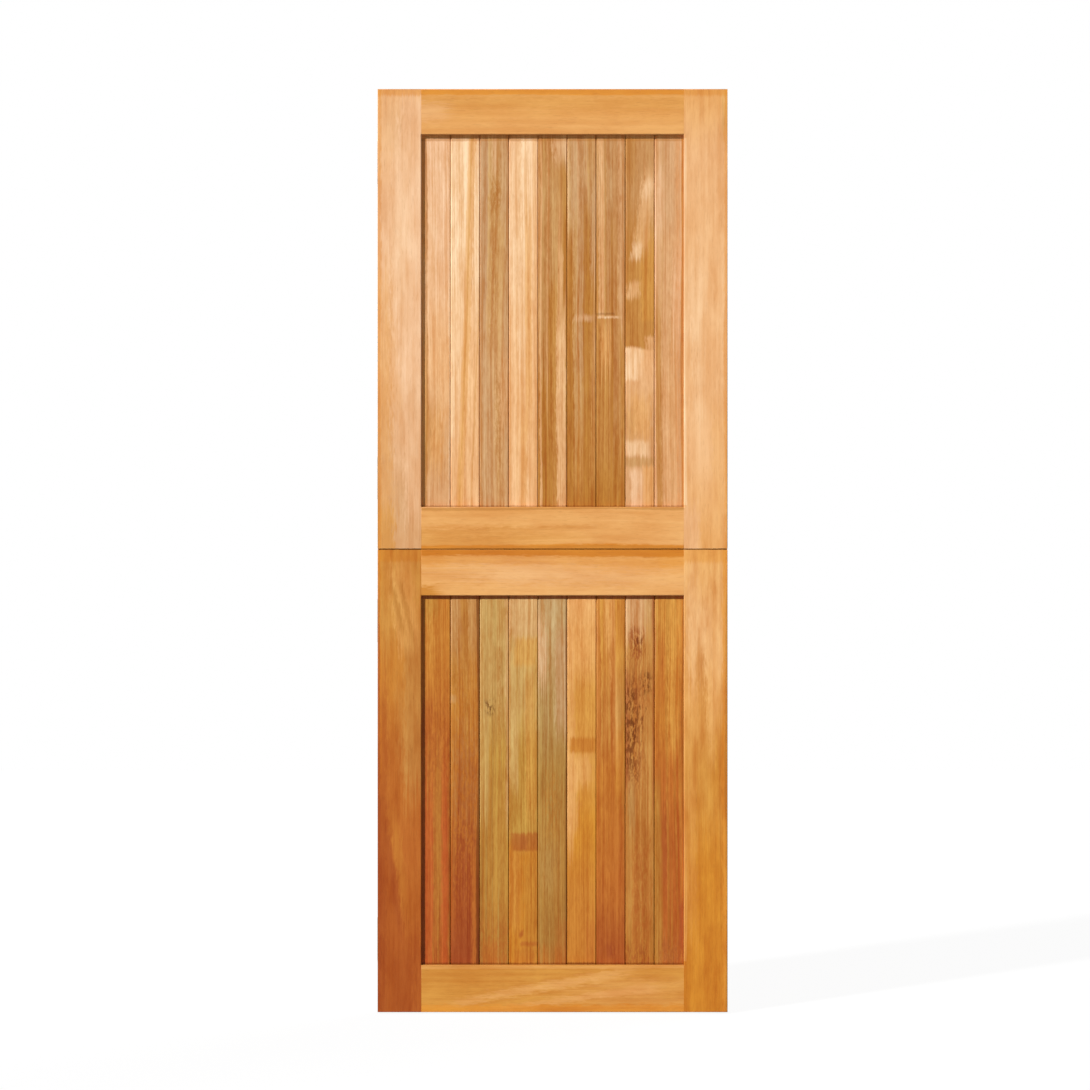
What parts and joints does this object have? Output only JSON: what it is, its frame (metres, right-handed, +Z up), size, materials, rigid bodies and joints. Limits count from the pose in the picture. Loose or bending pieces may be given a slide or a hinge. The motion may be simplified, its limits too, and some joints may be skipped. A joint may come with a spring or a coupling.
{
  "type": "stable door",
  "caption": "Wooden stable door: framed upper and lower leaves filled with vertical tongue-and-groove boards, rebated where they meet and hung on butt hinges.",
  "frame": {"origin": "middle of the bottom leaf's bottom edge, midway through the thickness of the frame", "axes": "+Z up, +X towards the closing edge, -Y out of the front face; the leaves swing towards +Y"},
  "size_m": [0.8115, 0.0505, 2.134],
  "materials": {
    "pale_timber": "satin",
    "amber_timber": "satin",
    "brown_timber": "satin",
    "khaki_timber": "satin",
    "russet_timber": "satin",
    "brass": "satin"
  },
  "bodies": {
    "jamb_side": {"bottom_leaf_lower_hinge_jamb_plate": "brass", "bottom_leaf_lower_hinge_pin": "brass", "bottom_leaf_upper_hinge_jamb_plate": "brass", "bottom_leaf_upper_hinge_pin": "brass", "top_leaf_lower_hinge_jamb_plate": "brass", "top_leaf_lower_hinge_pin": "brass", "top_leaf_upper_hinge_jamb_plate": "brass", "top_leaf_upper_hinge_pin": "brass"},
    "bottom_leaf": {"bottom_leaf_hinge_stile": "russet_timber", "bottom_leaf_closing_stile": "amber_timber", "bottom_rail": "amber_timber", "lower_meeting_rail": "amber_timber", "bottom_leaf_board_1": "russet_timber", "bottom_leaf_board_2": "russet_timber", "bottom_leaf_board_3": "khaki_timber", "bottom_leaf_board_4": "khaki_timber", "bottom_leaf_board_5": "khaki_timber", "bottom_leaf_board_6": "amber_timber", "bottom_leaf_board_7": "brown_timber", "bottom_leaf_board_8": "brown_timber", "bottom_leaf_board_9": "amber_timber", "bottom_leaf_lower_hinge_leaf_plate": "brass", "bottom_leaf_upper_hinge_leaf_plate": "brass", "bottom_leaf_hinge_screws": "brass"},
    "top_leaf": {"top_leaf_hinge_stile": "pale_timber", "top_leaf_closing_stile": "pale_timber", "upper_meeting_rail": "amber_timber", "top_rail": "amber_timber", "top_leaf_board_1": "pale_timber", "top_leaf_board_2": "pale_timber", "top_leaf_board_3": "brown_timber", "top_leaf_board_4": "pale_timber", "top_leaf_board_5": "brown_timber", "top_leaf_board_6": "brown_timber", "top_leaf_board_7": "brown_timber", "top_leaf_board_8": "amber_timber", "top_leaf_board_9": "brown_timber", "top_leaf_lower_hinge_leaf_plate": "brass", "top_leaf_upper_hinge_leaf_plate": "brass", "top_leaf_hinge_screws": "brass"}
  },
  "joints": [
    {"name": "bottom_leaf_swing", "type": "hinge", "parent": "jamb_side", "child": "bottom_leaf", "pos_m": [-0.402, 0.0255, 0], "axis": [0, 0, 1], "range_deg": [0, 90]},
    {"name": "top_leaf_swing", "type": "hinge", "parent": "bottom_leaf", "child": "top_leaf", "pos_m": [-0.402, 0.0255, 0], "axis": [0, 0, 1], "range_deg": [0, 90]}
  ]
}
